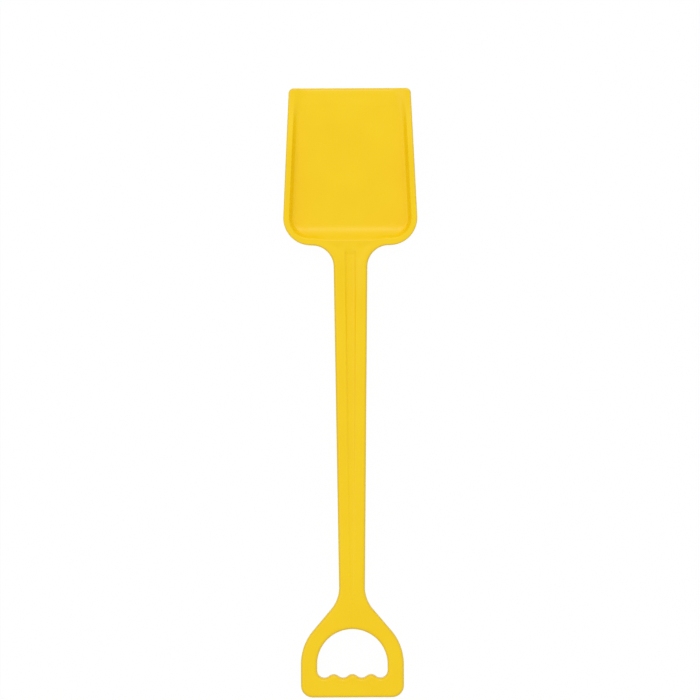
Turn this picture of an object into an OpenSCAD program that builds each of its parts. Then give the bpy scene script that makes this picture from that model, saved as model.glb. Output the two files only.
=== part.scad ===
// Toy sand shovel in moulded plastic: a tray blade, a tapered channelled shaft and a D grip.
// X runs across, +Y points out of the blade's front lip and +Z out of the tray.
// The back of all three mouldings is flat, and the origin lies under the middle of the shovel.
// Every outline below is followed anticlockwise, so its inside is on the left.

/* [Overall] */
// Length from the front lip to the end of the grip
total_length = 610; // [540:1:720]
// Height of the mouldings, from the flat back to the rim
moulding_height = 14; // [12:0.5:18]
// Thickness of the rim and of the standing walls
wall_thickness = 3; // [2.5:0.25:4]
// Radius of the rounded upper edges
edge_round = 2.8; // [1:0.1:3]

/* [Blade] */
// Length from the front lip to the shoulder
blade_length = 157.5; // [130:0.5:190]
// Width across the front lip
front_width = 122; // [110:0.5:132]
// Width across the shoulder, before its corners are rounded
shoulder_width = 136.8; // [134:0.2:150]
// Radius of the corners at the shoulder
shoulder_corner = 27.5; // [25:0.5:31]
// Radius of the corners at the front lip
front_corner = 5; // [2:0.5:8]
// Thickness of the tray's floor
floor_thickness = 3; // [2:0.25:4]
// Width of the rim, from its edge to the tray's wall
rim_width = 6; // [4.5:0.25:8]
// How far the tray's wall leans in on its way down
wall_lean = 3.5; // [1:0.25:5]
// Length of the hollow slope at the tray's rear
rear_slope = 14; // [11:0.5:15]
// Depth of the bevel along the front lip
lip_bevel = 17; // [8:0.5:25]
// Thickness of the front lip at its edge
lip_thickness = 1.4; // [0.8:0.1:1.8]

/* [Shaft] */
// Width where the shaft meets the blade
neck_width = 33.7; // [30:0.1:37]
// Width where the shaft meets the grip
throat_width = 25.8; // [24:0.1:29]
// Thickness of the shaft's and the grip's front wall
front_wall = 5.5; // [5:0.25:7]
// Width of the channel at the blade's end
channel_width = 10; // [6:0.25:13]
// Depth of the channel at the blade's end
channel_depth = 2.5; // [1:0.1:3]
// Length of the channel, which runs out in the grip
channel_length = 350; // [200:1:370]
// Number of ribs across the hollow back
rib_count = 8; // [0:1:16]
// Thickness of each rib
rib_thickness = 2.2; // [1.5:0.1:3]

/* [Tongues] */
// Length of the tongue at each end of the shaft
tongue_length = 18; // [14:0.5:20]
// Width of each tongue
tongue_width = 14; // [11:0.5:16]
// Thickness of each tongue
tongue_thickness = 4.5; // [3:0.25:5]
// Diameter of the stud that locks each tongue in its socket
stud_diameter = 6; // [4:0.5:8]
// Gap between a tongue or stud and the socket round it
fit_clearance = 0.2; // [0.1:0.05:0.4]

/* [Grip] */
// Width across the grip
grip_width = 103; // [96:0.5:112]
// Width of the arms round the hand hole
arm_width = 16.2; // [14:0.2:18]
// Length of the straight arms, from the middle of the arch to the end of the grip
arm_length = 33; // [30:0.5:40]
// Width of the finger bar behind its hollows
bar_width = 19.2; // [18.2:0.1:22]
// Radius of the corners at the end of the grip
grip_corner = 12; // [8:0.5:14]
// Distance from one finger hollow to the next
finger_pitch = 18.7; // [17:0.1:19.4]
// Angle between the shaft and the straight flanks of the throat
flank_angle = 40; // [35:1:48]
// Radius of the hollow curve from the shaft into the flanks
throat_round = 34; // [26:1:40]

/* [Hidden] */
$fn = 96;
plastic = [0.96, 0.80, 0.12];
// Length by which a cut passes a face, or a piece reaches into its neighbour
past = 1;
// Angle by which a sweep passes the plane that cuts it off
past_angle = 5;
// How far a curve passes a face beside it, so that the two cross
curve_cut = 0.1;
// Width of the rounded wall that follows every outline
edge_strip = max(edge_round, wall_thickness);

// Blade
front_y = total_length / 2;
shoulder_y = front_y - blade_length;
side_slope = (shoulder_width - front_width) / 2 / blade_length;
side_lean = atan(side_slope);
shoulder_centre = corner_centre(shoulder_y + shoulder_corner, shoulder_corner);
front_centre = corner_centre(front_y - front_corner, front_corner);
tray_depth = moulding_height - floor_thickness;
slope_end = rim_width + curve_cut + rear_slope;
slope_radius = (pow(rear_slope, 2) + pow(tray_depth, 2)) / 2 / tray_depth;
// The neck's hollow curves start just inside the shoulder's corners
neck_x = shoulder_centre.x - past;
neck_round = neck_x - neck_width / 2;
neck_y = shoulder_y + curve_cut - neck_round;

// Grip, drawn about the centre of its arch
arch_y = arm_length - total_length / 2;
arch_radius = grip_width / 2;
hole_radius = arch_radius - arm_width;
flank_normal = [cos(flank_angle), sin(flank_angle)];
flank_start = (arch_radius - curve_cut) * flank_normal;
flank_end_x = throat_width / 2 + throat_round * (1 - cos(flank_angle));
flank_run = (flank_start.x - flank_end_x) / sin(flank_angle);
flank_end = flank_start + flank_run * [-sin(flank_angle), cos(flank_angle)];
throat_centre = flank_end + throat_round * flank_normal;
throat_y = arch_y + throat_centre.y;

// Finger hollows and the bumps between them are arcs of one radius that meet halfway up the wave
finger_count = 4;
last_finger = (finger_count - 1) / 2;
wave_radius = hole_radius - last_finger * finger_pitch;
wave_rise = sqrt(pow(wave_radius, 2) - pow(finger_pitch / 4, 2));
hollow_y = bar_width + wave_radius - arm_length;
// How far the hollows cut into the bumps and the arms
finger_cut = 0.2;

// Shaft and tongues
shaft_length = neck_y - throat_y;
shaft_taper = atan((neck_width - throat_width) / 2 / shaft_length);
hollow_height = moulding_height - front_wall;
end_block = 2 * wall_thickness;
channel_start = shoulder_y - channel_width / 2;
channel_radius = (pow(channel_width / 2, 2) + pow(channel_depth, 2)) / 2 / channel_depth;
channel_tilt = atan(channel_depth / channel_length);
tongue_z = wall_thickness;

// Where the blade's right side lies at that y
function side_x(y) = shoulder_width / 2 - (y - shoulder_y) * side_slope;

// Centre of a corner of that radius at that y on the blade's right side
function corner_centre(y, radius) = [side_x(y) - radius / cos(side_lean), y];

// How far inside the rim's edge the tray's wall stands at that height
function wall_x(z) = rim_width + wall_lean * (moulding_height - z) / tray_depth;

// Half the shaft's width at that y
function half_shaft(y) =
    throat_width / 2 + (neck_width - throat_width) / 2 * (y - throat_y) / shaft_length;

// Right and left copies
module both_sides() {
    children();
    mirror([1, 0, 0]) children();
}

// Profile drawn as distance inside the outline by height, swept along a straight outline
module straight(from, to) {
    run = to - from;
    translate([from.x, from.y, 0])
        rotate([90, 0, atan2(run.y, run.x) + 90])
            linear_extrude(norm(run)) children();
}

// The same profile swept round an outward corner
module corner(centre, radius, start, sweep) {
    translate([centre.x, centre.y, 0])
        rotate([0, 0, start])
            rotate_extrude(angle = sweep)
                translate([radius, 0]) mirror([1, 0]) children();
}

// The same profile swept round an inward curve
module hollow_corner(centre, radius, start, sweep) {
    translate([centre.x, centre.y, 0])
        rotate([0, 0, start])
            rotate_extrude(angle = sweep)
                translate([radius, 0]) children();
}

// What a rounded upper edge takes off a square one
module edge_cut() {
    round_z = moulding_height - edge_round + curve_cut;
    difference() {
        translate([-past, round_z]) square(edge_round + past);
        translate([edge_round, round_z]) circle(edge_round);
    }
}

// Solid wall of that width with its outer upper edge rounded, reaching past the back and the top
module edge_profile(width) {
    difference() {
        translate([0, -past]) square([width, moulding_height + 2 * past]);
        edge_cut();
    }
}

// What lies between the flat back and the top of the mouldings
module trimmed() {
    intersection() {
        children();
        translate([-total_length, -total_length, 0])
            cube([2 * total_length, 2 * total_length, moulding_height]);
    }
}

// The tray's turned-out rim and leaning wall
module wall_profile() {
    top = moulding_height + past;
    rim_under = moulding_height - wall_thickness;
    difference() {
        polygon([
            [0, top], [0, rim_under], [wall_x(rim_under) - wall_thickness, rim_under],
            [wall_x(-past) - wall_thickness, -past], [wall_x(-past), -past], [wall_x(top), top]]);
        edge_cut();
    }
}

// Right side of the tray's wall with its rear corner, cut off at the neck and at the front lip
module wall_side() {
    difference() {
        translate([shoulder_centre.x, shoulder_centre.y, 0])
            rotate([0, 0, side_lean]) {
                straight([shoulder_corner, 0], [shoulder_corner, blade_length]) wall_profile();
                corner([0, 0], shoulder_corner, 0, -90 - side_lean - past_angle) wall_profile();
            }
        translate([shoulder_centre.x - shoulder_width, 0, -total_length / 2])
            cube([shoulder_width, total_length, total_length]);
        translate([0, front_y, -total_length / 2]) cube(total_length);
        translate([front_centre.x, front_centre.y, -total_length / 2])
            difference() {
                cube(total_length);
                cylinder(r = front_corner + curve_cut, h = total_length);
            }
    }
}

// Right half of the floor, reaching into the middle of the wall and bevelled along the front lip
module floor_half() {
    inset = wall_x(floor_thickness / 2) - wall_thickness / 2;
    rear_corner = [for (turn = [-90 : 30 : 0])
        shoulder_centre + (shoulder_corner - inset) * [cos(turn), sin(turn)]];
    bevel_y = front_y - lip_bevel;
    bevel_fall = (floor_thickness - lip_thickness) * (lip_bevel + past) / lip_bevel;
    difference() {
        translate([0, 0, -past])
            linear_extrude(floor_thickness + past)
                polygon(concat(
                    [[0, shoulder_y + inset]], rear_corner,
                    [[side_x(front_y) - inset / cos(side_lean), front_y], [0, front_y]]));
        translate([-past, 0, 0])
            rotate([90, 0, 90])
                linear_extrude(shoulder_width)
                    polygon([
                        [bevel_y, floor_thickness], [front_y + past, floor_thickness - bevel_fall],
                        [front_y + past, moulding_height], [bevel_y, moulding_height]]);
    }
}

// Space in front of the middle of the rear wall
module rear_space_profile() {
    top = moulding_height + past;
    polygon([
        [wall_x(top) - wall_thickness / 2, top], [wall_x(-past) - wall_thickness / 2, -past],
        [slope_end + past, -past], [slope_end + past, top]]);
}

// Right half of the concave slope from the floor up to the rim at the tray's rear
module slope_half() {
    translate([0, shoulder_y, 0])
        intersection() {
            straight([0, 0], [shoulder_width, 0])
                difference() {
                    translate([0, -past]) square([slope_end, moulding_height + 2 * past]);
                    translate([slope_end, floor_thickness + slope_radius]) circle(slope_radius);
                }
            union() {
                straight([0, 0], [shoulder_centre.x, 0]) rear_space_profile();
                corner([shoulder_centre.x, shoulder_corner], shoulder_corner, -90, 90) rear_space_profile();
            }
        }
}

// Right half of the solid neck, from the shaft up to the middle of the tray's rear wall
module neck_half() {
    top = moulding_height + past;
    translate([0, shoulder_y + curve_cut, 0]) {
        difference() {
            straight([0, 0], [shoulder_centre.x, 0])
                polygon([
                    [-neck_round, -past], [wall_x(-past) - past, -past],
                    [wall_x(top) - past, top], [-neck_round, top]]);
            translate([neck_x, -neck_round, -total_length / 2]) {
                cylinder(r = neck_round + edge_strip, h = total_length);
                cube([neck_round, neck_round + edge_strip, total_length]);
            }
        }
        straight([neck_x, 0], [shoulder_centre.x, 0]) edge_profile(edge_strip + past);
        hollow_corner([neck_x, -neck_round], neck_round, 90, 90) edge_profile(edge_strip + past);
    }
}

// Long shallow channel with a round end, running out towards the grip
module channel() {
    translate([0, channel_start, moulding_height + channel_radius - channel_depth]) {
        sphere(channel_radius);
        rotate([90 - channel_tilt, 0, 0]) cylinder(r = channel_radius, h = channel_length);
    }
}

// Tongue along +Y from a shaft end at the origin, grown on all sides by a gap
module tongue(gap) {
    translate([-tongue_width / 2 - gap, -past, tongue_z - gap])
        cube([tongue_width + 2 * gap, tongue_length + past + gap, tongue_thickness + 2 * gap]);
    translate([0, tongue_length / 2, 0])
        cylinder(d = stud_diameter + 2 * gap, h = tongue_z + past);
}

// Socket for a tongue, with the stud's hole open at the back
module socket() {
    tongue(fit_clearance);
    translate([0, tongue_length / 2, -past])
        cylinder(d = stud_diameter + 2 * fit_clearance, h = tongue_z + past);
}

module blade() {
    color(plastic)
        difference() {
            trimmed()
                both_sides() {
                    wall_side();
                    floor_half();
                    slope_half();
                    neck_half();
                }
            channel();
            translate([0, neck_y, 0]) socket();
        }
}

// All that lies inside the shaft's right side, whose upper edge is rounded
module inside_right() {
    from_y = throat_y - neck_width;
    to_y = neck_y + neck_width;
    straight([half_shaft(from_y), from_y], [half_shaft(to_y), to_y]) edge_profile(2 * neck_width);
}

// Hollow in the shaft's back from one y to another, inside the walls
module shaft_pocket(from_y, to_y) {
    inset = edge_strip / cos(shaft_taper);
    translate([0, 0, -past])
        linear_extrude(hollow_height + past)
            polygon([
                [-half_shaft(from_y) + inset, from_y], [half_shaft(from_y) - inset, from_y],
                [half_shaft(to_y) - inset, to_y], [-half_shaft(to_y) + inset, to_y]]);
}

module shaft() {
    bay_length = (shaft_length - 2 * end_block + rib_thickness) / (rib_count + 1);
    color(plastic) {
        difference() {
            intersection() {
                inside_right();
                mirror([1, 0, 0]) inside_right();
                translate([-neck_width, throat_y, 0])
                    cube([2 * neck_width, shaft_length, moulding_height]);
            }
            for (i = [0 : rib_count]) {
                bay_y = throat_y + end_block + i * bay_length;
                shaft_pocket(bay_y, bay_y + bay_length - rib_thickness);
            }
            channel();
        }
        translate([0, neck_y, 0]) tongue(0);
        translate([0, throat_y, 0]) rotate([0, 0, 180]) tongue(0);
    }
}

// Wall with its outer upper edge rounded, hollow behind its front over that width
module shell_profile(width, hollow) {
    difference() {
        edge_profile(width);
        translate([edge_strip, -2 * past]) square([hollow, hollow_height + 2 * past]);
    }
}

// Section of an arm round the hand hole, with both upper edges rounded
module arm_profile() {
    difference() {
        shell_profile(arm_width, arm_width - 2 * edge_strip);
        translate([arm_width, 0]) mirror([1, 0]) edge_cut();
    }
}

// Arch and straight arms round the hand hole
module grip_arch() {
    corner([0, 0], arch_radius, 0, 180) arm_profile();
    both_sides() straight([arch_radius, hollow_y], [arch_radius, 0]) arm_profile();
}

// Bar across the end of the grip, with its corners, before the finger hollows are cut
module plain_bar() {
    corner_x = arch_radius - grip_corner;
    bar_corner = [corner_x, grip_corner - arm_length];
    straight([-corner_x, -arm_length], [corner_x, -arm_length])
        shell_profile(hollow_y - wave_rise + arm_length, bar_width - 2 * edge_strip);
    both_sides() {
        corner(bar_corner, grip_corner, 0, -90) shell_profile(grip_corner, grip_corner);
        straight([arch_radius, bar_corner.y], [arch_radius, hollow_y])
            shell_profile(arm_width + wave_radius / 2, arm_width - 2 * edge_strip);
    }
}

// Cutter for one finger hollow, flared to leave its upper edge rounded
module finger_hollow() {
    hollow_radius = wave_radius + finger_cut;
    rotate_extrude() {
        translate([0, -2 * past]) square([hollow_radius, moulding_height + 4 * past]);
        translate([hollow_radius, 0]) edge_cut();
    }
}

// Bar with a row of finger hollows along the hand hole and round bumps between them
module finger_bar() {
    difference() {
        union() {
            plain_bar();
            for (i = [0.5 - last_finger : last_finger - 0.5])
                translate([i * finger_pitch, hollow_y - 2 * wave_rise, 0])
                    rotate_extrude() translate([wave_radius, 0]) mirror([1, 0]) edge_profile(wave_radius);
        }
        for (i = [-last_finger : last_finger])
            translate([i * finger_pitch, hollow_y, 0]) finger_hollow();
    }
}

// Right half of the solid throat between the shaft and the arch, reaching past the shaft's end
module throat_half() {
    inset = edge_strip * flank_normal;
    translate([0, 0, -2 * past])
        linear_extrude(moulding_height + 4 * past)
            difference() {
                polygon([
                    [0, 0], flank_start - inset, flank_end - inset,
                    throat_centre + [0, past], [0, throat_centre.y + past]]);
                translate(throat_centre) circle(throat_round + edge_strip + past / 2);
                circle(arch_radius - arm_width / 2);
            }
    translate(flank_end)
        rotate([0, 0, flank_angle]) {
            straight([0, -flank_run - past], [0, 0]) edge_profile(edge_strip + past);
            hollow_corner([throat_round, 0], throat_round, 180, -flank_angle - past_angle)
                edge_profile(edge_strip + past);
        }
}

// Solid throat, cut off square at the shaft
module throat() {
    intersection() {
        both_sides() throat_half();
        translate([-grip_width, 0, -grip_width])
            cube([2 * grip_width, throat_centre.y, 2 * grip_width]);
    }
}

module grip() {
    color(plastic)
        difference() {
            trimmed()
                translate([0, arch_y, 0]) {
                    grip_arch();
                    finger_bar();
                    throat();
                }
            channel();
            translate([0, throat_y, 0]) rotate([0, 0, 180]) socket();
        }
}

blade();
shaft();
grip();
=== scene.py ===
import math

import bpy
import numpy as np
from mathutils import Matrix, Vector
from mathutils.geometry import delaunay_2d_cdt


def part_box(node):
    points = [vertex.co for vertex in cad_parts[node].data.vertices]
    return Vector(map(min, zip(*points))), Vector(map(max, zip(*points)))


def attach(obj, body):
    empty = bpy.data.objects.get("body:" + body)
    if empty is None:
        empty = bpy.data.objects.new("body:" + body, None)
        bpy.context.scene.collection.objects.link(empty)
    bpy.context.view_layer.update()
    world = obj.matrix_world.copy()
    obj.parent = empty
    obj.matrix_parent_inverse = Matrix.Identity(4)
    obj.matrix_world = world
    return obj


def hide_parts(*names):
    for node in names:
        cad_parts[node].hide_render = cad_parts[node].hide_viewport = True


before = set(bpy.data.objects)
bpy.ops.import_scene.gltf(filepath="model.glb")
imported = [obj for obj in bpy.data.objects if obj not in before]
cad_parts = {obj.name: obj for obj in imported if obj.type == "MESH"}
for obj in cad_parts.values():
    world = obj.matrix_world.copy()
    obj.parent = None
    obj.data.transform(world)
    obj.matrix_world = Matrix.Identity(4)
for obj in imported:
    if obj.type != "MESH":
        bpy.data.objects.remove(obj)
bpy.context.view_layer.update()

# Lengths below are millimetres in the CAD frame: +Y points out of the front lip and +Z out of the tray
MM = 0.001
blade_low, blade_high = (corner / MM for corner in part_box("blade"))
grip_low, grip_high = (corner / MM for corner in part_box("grip"))
height = blade_high.z
front_y = blade_high.y
neck_y = blade_low.y
throat_y = grip_high.y
end_y = grip_low.y

# Blade
blade_length = 157.5
front_half = 61.0
shoulder_half = 68.38
shoulder_corner = 27.5
front_corner = 5.0
floor_top = 3.0
rim_width = 6.0
rim_thickness = 3.0
boss_draft = 1.2
rim_round = 1.6
rim_drop = 1.4
rim_edge = 1.0
rear_edge = 4.0
rear_reach = 14.0
wall_fillet = 5.0
wall_lean = 2.6
ramp_length = 16.5
lip_bevel = 17.0
lip_fall = 0.5
lip_roll = 7.0
lip_edge = 0.8
taper_fall = 8.2
taper_length = 70.0
shoulder_y = front_y - blade_length
side_lean = math.degrees(math.atan((shoulder_half - front_half) / blade_length))
rim_top = height - rim_drop
tray_depth = rim_top - floor_top
ramp_radius = (ramp_length ** 2 + tray_depth ** 2) / (2 * tray_depth)

# Shaft
neck_half = 16.85
throat_half = 12.9
rail_round = 3.2
channel_half = 5.7
channel_depth = 2.5
channel_edge = 0.8
channel_flatness = 6
dish_depth = 1.0
dish_insets = (3.0, 11.0)
dish_start = 3.0
dish_fade = 60.0
channel_length = 350.0
hollow_top = 8.5
hollow_wall = 3.0
hollow_end = 6.0
wall_draft = 0.4
rib_count = 8
rib_thickness = 2.2
rib_overlap = 0.3
rib_arch = 0.8
rib_draft = 0.3
stud_radius = 3.0
stud_gap = 0.25
stud_draft = 0.4
stud_height = 2.6
stud_reach = 9.0
stud_chamfer = 0.4
stud_recess = 0.05
channel_start = shoulder_y - channel_half

# Grip
grip_half = grip_high.x
throat_round = 34.0
flank_angle = 40.0
arm_width = 16.2
arm_length = 33.0
bar_width = 19.2
grip_corner = 12.0
finger_pitch = 18.7
core_inset = 8.0
arch_y = end_y + arm_length
hole_half = grip_half - arm_width
finger_radius = hole_half - 1.5 * finger_pitch
hollow_y = end_y + bar_width + finger_radius
bump_y = hollow_y - 2 * math.sqrt(finger_radius ** 2 - (finger_pitch / 4) ** 2)


# Paths in the plan
def corner_centre(y, radius):
    """Centre of a corner of that radius at that y on the blade's right side."""
    side_x = shoulder_half - (y - shoulder_y) * math.tan(math.radians(side_lean))
    return Vector((side_x - radius / math.cos(math.radians(side_lean)), y))


def arc(centre, radius, start, end, step=1.0):
    """Points on an arc from one angle to another, in degrees."""
    count = max(2, math.ceil(radius * math.radians(abs(end - start)) / step))
    angles = np.radians(np.linspace(start, end, count + 1))
    return np.column_stack((centre[0] + radius * np.cos(angles), centre[1] + radius * np.sin(angles)))


def path(*stretches, step=1.0):
    """A run of points through the stretches, with straight lines between them."""
    run = [np.asarray(stretches[0], float)]
    for stretch in stretches[1:]:
        stretch = np.asarray(stretch, float)
        last = run[-1][-1]
        count = math.ceil(np.linalg.norm(stretch[0] - last) / step)
        run.append(last + (stretch[0] - last) * np.linspace(0, 1, count + 1)[1:-1, None])
        run.append(stretch)
    joined = np.vstack(run)
    apart = np.linalg.norm(np.diff(joined, axis=0), axis=1) > 1e-6
    return joined[np.concatenate(([True], apart))]


def mirrored(points):
    """The left half's points for the right half's, in the opposite order."""
    return points[::-1] * (-1, 1)


def loop(half):
    """Closed path through the right half and back through the left, without its doubled points."""
    whole = path(half, mirrored(half), half[:1])
    return whole[:-1]


def distance(points, edge):
    """Distance from each point to a path of the right half, or to its mirror image for the left."""
    spots = np.column_stack((np.abs(points[:, 0]), points[:, 1]))
    start, along = edge[:-1], np.diff(edge, axis=0)
    length = (along ** 2).sum(axis=1)
    nearest = []
    for part in np.array_split(spots, len(spots) // 2000 + 1):
        offset = part[:, None, :] - start
        share = np.clip((offset * along).sum(axis=2) / length, 0, 1)
        nearest.append(np.linalg.norm(offset - share[:, :, None] * along, axis=2).min(axis=1))
    return np.concatenate(nearest)


def rings(edge, insets, slack=0.03):
    """Copies of a path moved to its right by each inset, kept where no other stretch of it lies nearer."""
    ahead = np.gradient(edge, axis=0)
    inward = np.column_stack((ahead[:, 1], -ahead[:, 0])) / np.linalg.norm(ahead, axis=1)[:, None]
    copies = [edge + inward * inset for inset in insets]
    return np.vstack([copy[distance(copy, edge) > inset - slack] for copy, inset in zip(copies, insets)])


def rows(across, along):
    """A grid of points."""
    return np.array([(x, y) for y in along for x in across])


def stepped(*stretches):
    """Distances that run from each stretch's start to the next one's, by the stretch's own step."""
    return np.concatenate([np.arange(start, end, step) for start, end, step in stretches])


# Heights
def soft_max(a, b, reach):
    """The higher of two heights, with a fillet where they come within reach of each other."""
    near = np.maximum(reach - np.abs(a - b), 0) / reach
    return np.maximum(a, b) + near ** 2 * reach / 4


def soft_min(a, b, reach):
    """The lower of two heights, with a rounded edge where they come within reach of each other."""
    return -soft_max(-a, -b, reach)


def ease(value, start, end):
    """0 before start and 1 after end, with a smooth rise between."""
    share = np.clip((value - start) / (end - start), 0, 1)
    return share * share * (3 - 2 * share)


def edge_drop(inset, width, depth):
    """How far a rounded edge lies under the top."""
    share = 1 - np.clip(inset / width, 0, 1)
    return depth * (1 - np.sqrt(1 - share ** 2))


def rim_height(y):
    """Height of the rim, which falls towards the lip."""
    return rim_top - taper_fall * ease(y, front_y - taper_length, front_y)


def handle_top(plan, edge):
    """The rim rising into the rails, and the channel between them, which runs out towards the grip."""
    x, y = plan.T
    rise = ease(shoulder_y - y, -rim_width, neck_round)
    width = rim_round + (rail_round - rim_round) * rise
    behind_rim = ease(shoulder_y - y, -rim_width, dish_start)
    dish = dish_depth * ease(edge, *dish_insets) * behind_rim * ease(y, neck_y - dish_fade, neck_y)
    rail = rim_height(y) + rim_drop * rise - edge_drop(edge, width, width) - dish
    left = np.clip(1 - (channel_start - y) / channel_length, 0.001, 1)
    across = np.hypot(x, np.maximum(y - channel_start, 0)) / (channel_half * np.sqrt(left))
    groove = rail + dish * 0.5 - channel_depth * left * (1 - across ** channel_flatness)
    return soft_min(rail, groove, channel_edge)


# Outline of the right half, from the middle of the lip to the middle of the grip's end
front_centre = corner_centre(front_y - front_corner, front_corner)
shoulder_centre = corner_centre(shoulder_y + shoulder_corner, shoulder_corner)
neck_x = shoulder_centre.x - 1
neck_centre = (neck_x, neck_y)
neck_round = neck_x - neck_half
throat_centre = (throat_half + throat_round, throat_y)
corner_spot = (grip_half - grip_corner, end_y + grip_corner)
rear_path = path(
    arc(shoulder_centre, shoulder_corner, side_lean, -90),
    arc(neck_centre, neck_round, 90, 180))
side_path = path([(front_half, front_y)], rear_path)
blade_path = path([(0, front_y)], arc(front_centre, front_corner, 90, side_lean, 0.5), rear_path)
shaft_path = path([(neck_half, neck_y)], [(throat_half, throat_y)], step=2)
grip_path = path(
    arc(throat_centre, throat_round, 180, 180 + flank_angle),
    arc((0, arch_y), grip_half, flank_angle, 0),
    arc(corner_spot, grip_corner, 0, -90),
    [(0, end_y)])


def finger_wave():
    """Edge of the finger bar from the arm to the middle: arcs of one radius that meet halfway."""
    tilt = math.degrees(math.asin(finger_pitch / 4 / finger_radius))
    return path(
        arc((1.5 * finger_pitch, hollow_y), finger_radius, 0, -90 - tilt, 0.5),
        arc((finger_pitch, bump_y), finger_radius, 90 - tilt, 90 + tilt, 0.5),
        arc((0.5 * finger_pitch, hollow_y), finger_radius, -90 + tilt, -90 - tilt, 0.5),
        arc((0, bump_y), finger_radius, 90 - tilt, 90, 0.5))


hole_path = path(arc((0, arch_y), hole_half, 90, 0), finger_wave())


# Bodies over a plan, whose inner points keep clear of the seams between the mouldings
seam_gap = 0.2


def thinned(*groups, apart=0.25):
    """The groups' points and their mirror images, without those that lie too near an earlier one."""
    taken, kept = set(), []
    for x, y in np.vstack(groups):
        cell = (round(x / apart), round(y / apart))
        around = {(cell[0] + i, cell[1] + j) for i in (-1, 0, 1) for j in (-1, 0, 1)}
        if not taken & around:
            taken.add(cell)
            kept += [(x, y), (-x, y)] if x > apart else [(0, y)]
    return np.array(kept)


def inside(points, loops):
    """Whether each point lies within the first loop and outside the others."""
    x, y = points.T
    crossings = np.zeros(len(points), int)
    for edge in loops:
        for (ax, ay), (bx, by) in zip(edge, np.roll(edge, -1, axis=0)):
            if ay != by:
                crossings += ((ay > y) != (by > y)) & (x < ax + (y - ay) * (bx - ax) / (by - ay))
    return crossings % 2 == 1


def plan_faces(loops, points):
    """Triangles between the loops through all the points."""
    points = points[inside(points, loops)]
    links, start = [], 0
    for edge in loops:
        links += [(start + i, start + (i + 1) % len(edge)) for i in range(len(edge))]
        start += len(edge)
    spots = [Vector(spot) for spot in np.vstack((*loops, points))]
    plan, _, faces, *_ = delaunay_2d_cdt(spots, links, [], 0, 1e-5)
    plan, faces = np.array(plan), np.array(faces)
    return plan, faces[inside(plan[faces].mean(axis=1), loops)]


def moulding(name, loops, points, top, bottom, edge):
    """A closed body between two heights over a plan. It keeps the distance to the outline for wear."""
    plan, faces = plan_faces(loops, points)
    count = len(plan)
    sides = np.vstack((faces[:, (0, 1)], faces[:, (1, 2)], faces[:, (2, 0)]))
    inner = np.isin(sides @ (count, 1), sides @ (1, count))
    start, end = sides[~inner].T
    walls = np.column_stack((start, start + count, end + count, end))
    spots = np.vstack((np.column_stack((plan, top(plan))), np.column_stack((plan, bottom(plan)))))
    mesh = bpy.data.meshes.new(name)
    under = faces[:, ::-1] + count
    mesh.from_pydata((spots * MM).tolist(), [], [*faces.tolist(), *under.tolist(), *walls.tolist()])
    mesh.attributes.new("edge", "FLOAT", "POINT").data.foreach_set("value", np.tile(edge(plan), 2))
    return shown(name, mesh)


def shown(name, mesh):
    """An object for a finished mesh, smooth but for its sharp edges."""
    mesh.shade_smooth()
    mesh.set_sharp_from_angle(angle=math.radians(38))
    piece = bpy.data.objects.new(name, mesh)
    bpy.context.collection.objects.link(piece)
    return piece


def stud_rings(spot):
    """Points just inside and just outside the edge of a stud's hole."""
    gaps = (stud_gap - stud_draft, stud_gap + stud_draft)
    return [arc(spot, stud_radius + gap, -90, 90, 0.5) for gap in gaps]


def blade_tray():
    """Tray with a turned-out rim, a curved ramp at its rear, a rolled lip and the neck."""
    insets = stepped((0.06, 0.4, 0.18), (0.5, 2.2, 0.44), (2.4, 5, 0.9), (5, 10.2, 0.4), (10.4, 16, 1.2))
    ramp_rows = shoulder_y + stepped((4.3, 9, 0.4), (9, 22, 1))
    lip_rows = front_y - stepped((0.4, 2, 0.55), (2.2, 8.5, 0.9), (9, 20, 3))
    floor_rows = np.arange(shoulder_y + 23, front_y - lip_bevel - 3, 3.5)
    near = rings(side_path, insets)
    behind = (near[:, 0] < shoulder_centre.x) & (near[:, 1] > shoulder_y + 4)
    stud_spot = (0, neck_y + stud_reach)
    points = thinned(
        *stud_rings(stud_spot),
        rows(np.arange(0, shoulder_centre.x, 1.2), ramp_rows),
        near[~behind],
        rows(np.arange(0, front_half, 2.5), lip_rows),
        rows(np.arange(0, shoulder_half, 3.5), floor_rows))

    def edge(plan):
        return distance(plan, blade_path)

    def top(plan):
        y = plan[:, 1]
        wall_steepness = (rim_height(y) - floor_top) / wall_lean
        wall = rim_height(y) - (distance(plan, side_path) - rim_width) * wall_steepness
        back = np.clip(shoulder_y + rim_width + ramp_length - y, 0, ramp_radius)
        ramp = ramp_radius - np.sqrt(ramp_radius ** 2 - back ** 2)
        ahead = front_y - y
        bevel = lip_fall * ease(lip_bevel - ahead, 0, lip_bevel - lip_roll)
        floor = floor_top - bevel - edge_drop(ahead, lip_roll, floor_top - lip_fall - lip_edge)
        tray = soft_max(floor + ramp, wall, wall_fillet + ramp)
        rear = ease(shoulder_y + rear_reach - y, 0, rear_reach - rim_width)
        return soft_min(handle_top(plan, edge(plan)), tray, rim_edge + (rear_edge - rim_edge) * rear)

    def bottom(plan):
        x, y = np.abs(plan[:, 0]), plan[:, 1]
        under = rim_height(y) - rim_thickness
        outside = rim_width + wall_lean * rim_thickness / (rim_height(y) - floor_top) - rim_thickness
        fall = under - (distance(plan, side_path) - outside) * under / wall_lean
        raised = np.clip(fall, 0, under)
        solid = ease(shoulder_centre.x + boss_draft - x, 0, boss_draft) * (y < shoulder_y + 2 * rim_width)
        hole = np.hypot(x, y - stud_spot[1]) < stud_radius + stud_gap
        return raised * (1 - solid) + stud_height * hole

    return moulding("blade_tray", [loop(blade_path)[::-1]], points, top, bottom, edge)


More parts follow.
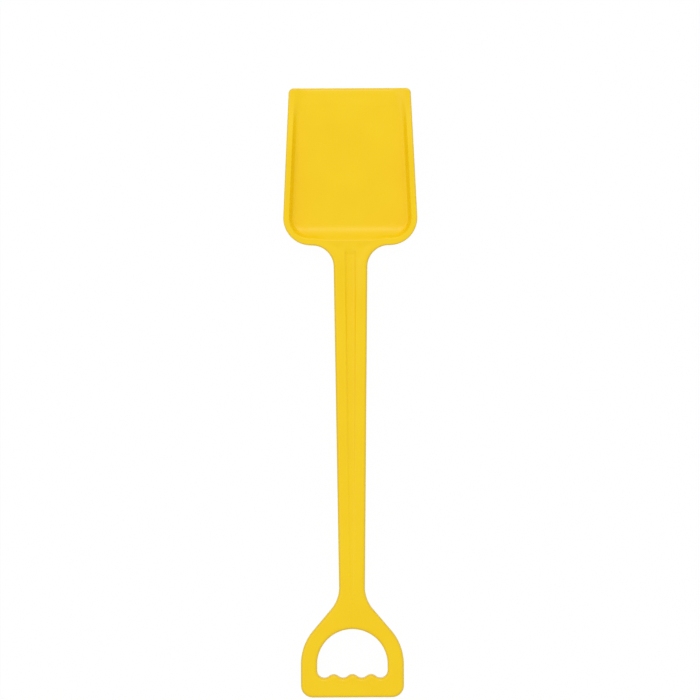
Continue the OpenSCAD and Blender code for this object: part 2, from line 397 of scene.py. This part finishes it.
def shaft_bar():
    """Tapered bar with a fading channel in front and a long hollow behind."""
    insets = [*stepped((0.1, 0.6, 0.25), (0.8, 2.9, 0.65)), hollow_wall, hollow_wall + wall_draft,
              *stepped((4, 9.8, 1.5), (9.8, 13.2, 0.6), (13.2, 17, 1))]
    ends = [(throat_y + hollow_end, 1), (neck_y - hollow_end, -1)]
    steps = [y + turn * gap for y, turn in ends for gap in (0, wall_draft)]
    near = rings(shaft_path, insets)
    within = (near[:, 1] < neck_y - seam_gap) & (near[:, 1] > throat_y + seam_gap)
    points = thinned(rows(np.arange(0, neck_half, 1.0), steps), near[within])

    def edge(plan):
        return distance(plan, shaft_path)

    def top(plan):
        return handle_top(plan, edge(plan))

    def bottom(plan):
        y = plan[:, 1]
        inset = np.minimum(edge(plan) - hollow_wall, np.minimum(y - ends[0][0], ends[1][0] - y))
        return hollow_top * np.clip(inset / wall_draft, 0, 1)

    return moulding("shaft_bar", [loop(shaft_path)[::-1]], points, top, bottom, edge)


def grip_handle():
    """D-shaped hand grip with finger hollows, hollow behind but for its throat."""
    insets = [*stepped((0.1, 0.6, 0.25), (0.8, 2.9, 0.65)), hollow_wall, hollow_wall + wall_draft,
              *stepped((4, 7.5, 1.2))]
    outer = rings(grip_path, [*insets, *stepped((9, 19, 1.7))])
    inner = rings(hole_path[::-1], [*insets, core_inset, core_inset + wall_draft, *stepped((9.5, 18, 1.7))])
    half_arm = 7.2
    outer = outer[(distance(outer, hole_path) > half_arm) & (outer[:, 1] < throat_y - seam_gap)]
    inner = inner[(distance(inner, grip_path) > half_arm) & (inner[:, 1] < throat_y - seam_gap)]
    stud_spot = (0, throat_y - stud_reach)
    points = thinned(*stud_rings(stud_spot), outer, inner)

    def edge(plan):
        return np.minimum(distance(plan, grip_path), distance(plan, hole_path))

    def top(plan):
        return handle_top(plan, edge(plan))

    def bottom(plan):
        x, y = plan[:, 0], plan[:, 1] - arch_y
        turn = np.degrees(np.arctan2(np.abs(x), y))
        core = ease(distance(plan, hole_path), core_inset, core_inset + wall_draft)
        core *= 1 - ease(turn, 90 - flank_angle, 92 - flank_angle)
        hole = np.hypot(x, plan[:, 1] - stud_spot[1]) < stud_radius + stud_gap
        hollow = hollow_top * np.clip((edge(plan) - hollow_wall) / wall_draft, 0, 1)
        return hollow * (1 - core) + stud_height * hole

    loops = [loop(grip_path)[::-1], loop(hole_path)]
    return moulding("grip_handle", loops, points, top, bottom, edge)


# Node sockets as maths
class Maths:
    """A node socket that takes part in Python expressions."""

    def __init__(self, tree, socket=None):
        self.tree = tree
        self.socket = socket

    def node(self, kind, settings=None, sockets=None, output=0):
        """Adds a node with its settings, fills or links its sockets, and gives one output."""
        node = self.tree.nodes.new(kind)
        for key, value in (settings or {}).items():
            setattr(node, key, value)
        for key, value in (sockets or {}).items():
            if isinstance(value, Maths):
                self.tree.links.new(value.socket, node.inputs[key])
            else:
                node.inputs[key].default_value = value
        return Maths(self.tree, node.outputs[output] if node.outputs else None)

    def maths(self, operation, *values):
        return self.node("ShaderNodeMath", {"operation": operation}, dict(enumerate(values)))

    def __add__(self, other):
        return self.maths("ADD", self, other)

    def __sub__(self, other):
        return self.maths("SUBTRACT", self, other)

    def __rsub__(self, other):
        return self.maths("SUBTRACT", other, self)

    def __mul__(self, other):
        return self.maths("MULTIPLY", self, other)

    __radd__ = __add__
    __rmul__ = __mul__

    def rise(self, start, end):
        """0 before start and 1 after end, with a smooth rise between."""
        return self.node("ShaderNodeMapRange", {"interpolation_type": "SMOOTHSTEP"},
                         {"Value": self, "From Min": start, "From Max": end})

    def noise(self, place, scale, detail=2.0):
        return self.node("ShaderNodeTexNoise", {}, {"Vector": place, "Scale": scale, "Detail": detail})

    def mix(self, share, first, second):
        """A colour between two others."""
        return self.node("ShaderNodeMix", {"data_type": "RGBA"}, {0: share, 6: first, 7: second}, 2)

    def parts(self):
        """The three coordinates of a vector."""
        return [self.node("ShaderNodeSeparateXYZ", {}, {0: self}, axis) for axis in range(3)]

    def vector(self, x, y, z):
        return self.node("ShaderNodeCombineXYZ", {}, {0: x, 1: y, 2: z})


# Pieces made by Geometry Nodes
def repeated(name, sizes, material, build):
    """A mesh from a node tree with named sizes: build gets them as sockets and gives the instances."""
    tree = bpy.data.node_groups.new(name, "GeometryNodeTree")
    start = Maths(tree)
    for label, value in sizes.items():
        kind = "NodeSocketInt" if isinstance(value, int) else "NodeSocketFloat"
        tree.interface.new_socket(label, in_out="INPUT", socket_type=kind)
    tree.interface.new_socket("Geometry", in_out="OUTPUT", socket_type="NodeSocketGeometry")
    inputs = {label: start.node("NodeGroupInput", output=label) for label in sizes}
    whole = start.node("GeometryNodeRealizeInstances", {}, {0: build(start, inputs)})
    marked = start.node("GeometryNodeStoreNamedAttribute", {"data_type": "FLOAT"},
                        {"Geometry": whole, "Name": "edge", "Value": 2 * rail_round})
    start.node("NodeGroupOutput", {}, {0: start.node(
        "GeometryNodeSetMaterial", {}, {"Geometry": marked, "Material": material})})
    holder = bpy.data.objects.new(name, bpy.data.meshes.new(name))
    bpy.context.collection.objects.link(holder)
    modifier = holder.modifiers.new(name, "NODES")
    modifier.node_group = tree
    for item in tree.interface.items_tree:
        if item.in_out == "INPUT":
            modifier[item.identifier] = sizes[item.name]
    mesh = bpy.data.meshes.new_from_object(holder.evaluated_get(bpy.context.evaluated_depsgraph_get()))
    bpy.data.objects.remove(holder)
    return shown(name, mesh)


def shaft_ribs(material):
    """Drafted ribs across the hollow back, each as wide as the hollow there, with an arched free edge."""
    bay = (neck_y - throat_y - 2 * hollow_end + rib_thickness) / (rib_count + 1)
    first_y = throat_y + hollow_end + bay - rib_thickness / 2
    taper = 2 * (neck_half - throat_half) / (neck_y - throat_y)
    first_width = 2 * (throat_half - hollow_wall + wall_draft) + taper * (first_y - throat_y)
    sizes = {"Count": rib_count, "First": first_y * MM, "Pitch": bay * MM, "First Width": first_width * MM,
             "Taper": taper, "Thickness": rib_thickness * MM, "Height": (hollow_top + rib_overlap) * MM,
             "Arch": rib_arch * MM}

    def build(start, size):
        spots = start.node("GeometryNodeMeshLine", {"mode": "OFFSET"}, {
            "Count": size["Count"], "Start Location": start.vector(0, size["First"], 0),
            "Offset": start.vector(0, size["Pitch"], 0)})
        place = start.node("GeometryNodeInputPosition")
        x, y, z = place.parts()
        block = start.node("GeometryNodeMeshCube", {}, {
            "Size": (1, 1, 1), "Vertices X": 17, "Vertices Y": 3, "Vertices Z": 5})
        arch = size["Arch"] * (1 - 4 * x * x) * (0.5 - z)
        thin = size["Thickness"] * (1 - rib_draft / 2 + rib_draft * z)
        rib = start.node("GeometryNodeSetPosition", {}, {
            "Geometry": block, "Position": start.vector(x, y * thin, size["Height"] * (z + 0.5) + arch)})
        width = size["First Width"] + size["Taper"] * (y - size["First"])
        return start.node("GeometryNodeInstanceOnPoints", {}, {
            "Points": spots, "Instance": rib, "Scale": start.vector(width, 1, 1)})

    return repeated("shaft_ribs", sizes, material, build)


def lock_studs(material):
    """Studs of the shaft's two tongues, which show in their holes at the back."""
    sizes = {"Radius": stud_radius * MM, "Height": stud_height * MM, "Chamfer": stud_chamfer * MM,
             "Neck Spot": (neck_y + stud_reach) * MM, "Throat Spot": (throat_y - stud_reach) * MM}

    def build(start, size):
        spots = start.node("GeometryNodeMeshLine", {"mode": "END_POINTS"}, {
            "Count": 2, "Start Location": start.vector(0, size["Throat Spot"], 0),
            "Offset": start.vector(0, size["Neck Spot"], 0)})
        disc = start.node("GeometryNodeMeshCylinder", {"fill_type": "TRIANGLE_FAN"}, {
            "Vertices": 64, "Side Segments": 4, "Fill Segments": 6,
            "Radius": size["Radius"], "Depth": size["Height"]})
        x, y, z = start.node("GeometryNodeInputPosition").parts()
        reach = start.maths("SQRT", x * x + y * y)
        inset = start.maths("SUBTRACT", size["Radius"], reach)
        outer = start.maths("MAXIMUM", size["Chamfer"] - inset, 0.0)
        lower = start.maths("LESS_THAN", z, 0.0)
        lift = size["Height"] * (0.5 + stud_recess) + outer * lower
        stud = start.node("GeometryNodeSetPosition", {}, {
            "Geometry": disc, "Position": start.vector(x, y, z + lift)})
        return start.node("GeometryNodeInstanceOnPoints", {}, {"Points": spots, "Instance": stud})

    return repeated("lock_studs", sizes, material, build)


# Materials
YELLOW = (0.955, 0.645, 0.004, 1)
DEEP_YELLOW = (0.945, 0.625, 0.003, 1)
PALE_YELLOW = (0.960, 0.690, 0.030, 1)


def plastic(name, scuffs, polish):
    """Semi-gloss plastic with faint flow clouds, fine grain, lengthwise scuffs and paler rubbed edges."""
    material = bpy.data.materials.new(name)
    material.use_nodes = True
    shader = material.node_tree.nodes["Principled BSDF"]
    start = Maths(material.node_tree)
    place = start.node("ShaderNodeTexCoord", output="Object")
    stretched = start.node("ShaderNodeMapping", {}, {"Vector": place, "Scale": (1, 0.06, 1)})
    clouds = start.noise(place, 22.0).rise(0.3, 0.7)
    grain = start.noise(place, 1400.0, 1.0)
    streaks = start.noise(stretched, 900.0, 3.0).rise(0.62, 0.8) * scuffs
    near = start.node("ShaderNodeAttribute", {"attribute_name": "edge"}, output="Fac")
    rubbed = (1 - near.rise(0.4, 3.0)) * start.noise(place, 160.0, 4.0).rise(0.42, 0.66)
    colour = start.mix(clouds, DEEP_YELLOW, YELLOW)
    colour = start.mix(rubbed * 0.3 + streaks * 0.2, colour, PALE_YELLOW)
    roughness = 0.31 - polish + 0.06 * clouds + 0.12 * rubbed + 0.15 * streaks
    relief = grain + clouds * 0.5 + streaks * 0.7
    normal = start.node("ShaderNodeBump", {}, {"Height": relief, "Strength": 0.25, "Distance": 0.00004})
    for label, value in (("Base Color", colour), ("Roughness", roughness), ("Normal", normal)):
        material.node_tree.links.new(value.socket, shader.inputs[label])
    shader.inputs["IOR"].default_value = 1.49
    shader.inputs["Specular IOR Level"].default_value = 0.3
    return material


def studio_white():
    """White that the camera sees as plain white, with a share of real shading for the object's shadow."""
    material = bpy.data.materials.new("studio_white")
    material.use_nodes = True
    material.node_tree.nodes.clear()
    start = Maths(material.node_tree)
    camera_ray, glossy_ray, clear_ray = (
        start.node("ShaderNodeLightPath", output=label)
        for label in ("Is Camera Ray", "Is Glossy Ray", "Is Transmission Ray"))
    seen = start.maths("MAXIMUM", camera_ray, start.maths("MAXIMUM", glossy_ray, clear_ray))
    plain_share = 0.92
    white = start.node("ShaderNodeEmission", {}, {"Color": (1, 1, 1, 1), "Strength": 1.06})
    matt = start.node("ShaderNodeBsdfDiffuse", {}, {"Color": (0.3, 0.3, 0.3, 1)})
    surface = start.node("ShaderNodeMixShader", {}, {0: seen * plain_share, 1: matt, 2: white})
    start.node("ShaderNodeOutputMaterial", {}, {"Surface": surface})
    return material


# Scene
def studio_floor():
    """Large white floor just under the shovel's back."""
    reach = 6.0
    mesh = bpy.data.meshes.new("studio_floor")
    mesh.from_pydata([(x * reach, y * reach, -0.0003) for x, y in ((-1, -1), (1, -1), (1, 1), (-1, 1))],
                     [], [(0, 1, 2, 3)])
    mesh.materials.append(studio_white())
    floor = bpy.data.objects.new("studio_floor", mesh)
    bpy.context.collection.objects.link(floor)


def lamp(name, azimuth, elevation, share, size):
    """Large soft lamp that points at the shovel and gives that share of the light on its flat faces."""
    away = 8.0
    turn, rise = math.radians(azimuth), math.radians(elevation)
    spot = away * Vector((math.cos(turn) * math.cos(rise), math.sin(turn) * math.cos(rise), math.sin(rise)))
    data = bpy.data.lights.new(name, "AREA")
    data.size = size
    data.energy = share * (math.pi * away) ** 2 / math.sin(rise)
    made = bpy.data.objects.new(name, data)
    made.location = spot
    made.rotation_euler = (-spot).to_track_quat("-Z", "Y").to_euler()
    bpy.context.collection.objects.link(made)


def studio():
    """Even light from all round, with a soft lamp beyond the lip and a weaker one at the left."""
    world = bpy.data.worlds.new("studio")
    world.use_nodes = True
    background = world.node_tree.nodes["Background"]
    background.inputs["Color"].default_value = (1, 1, 1, 1)
    background.inputs["Strength"].default_value = 0.77
    bpy.context.scene.world = world
    lamp("lamp_lip", 85, 48, 0.13, 3.0)
    lamp("lamp_left", 165, 62, 0.07, 4.0)
    bpy.context.scene.view_settings.view_transform = "Standard"


def camera():
    """Camera straight above with a long lens and a small roll, as in the photo."""
    view_width, roll = 0.700, -0.27
    data = bpy.data.cameras.new("camera")
    data.lens = 250
    data.sensor_width = 36
    data.clip_end = 20
    reach = view_width * data.lens / data.sensor_width
    made = bpy.data.objects.new("camera", data)
    spot = Matrix.Translation((-0.0009, 0.0426, reach + height * MM))
    made.matrix_world = spot @ Matrix.Rotation(math.radians(roll), 4, "Z")
    bpy.context.collection.objects.link(made)
    bpy.context.scene.camera = made


def place(piece, slot, node=None):
    """Puts a finished piece into the shown object."""
    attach(piece, "root")
    if node:
        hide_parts(node)


blade_plastic = plastic("blade_plastic", 1.0, 0.0)
shaft_plastic = plastic("shaft_plastic", 0.5, 0.02)
grip_plastic = plastic("grip_plastic", 0.3, 0.05)
for piece, node, material in ((blade_tray(), "blade", blade_plastic), (shaft_bar(), "shaft", shaft_plastic),
                              (grip_handle(), "grip", grip_plastic)):
    piece.data.materials.append(material)
    place(piece, node + "_plastic", node)
for piece in (shaft_ribs(shaft_plastic), lock_studs(shaft_plastic)):
    place(piece, "shaft_plastic")

studio_floor()
studio()
camera()
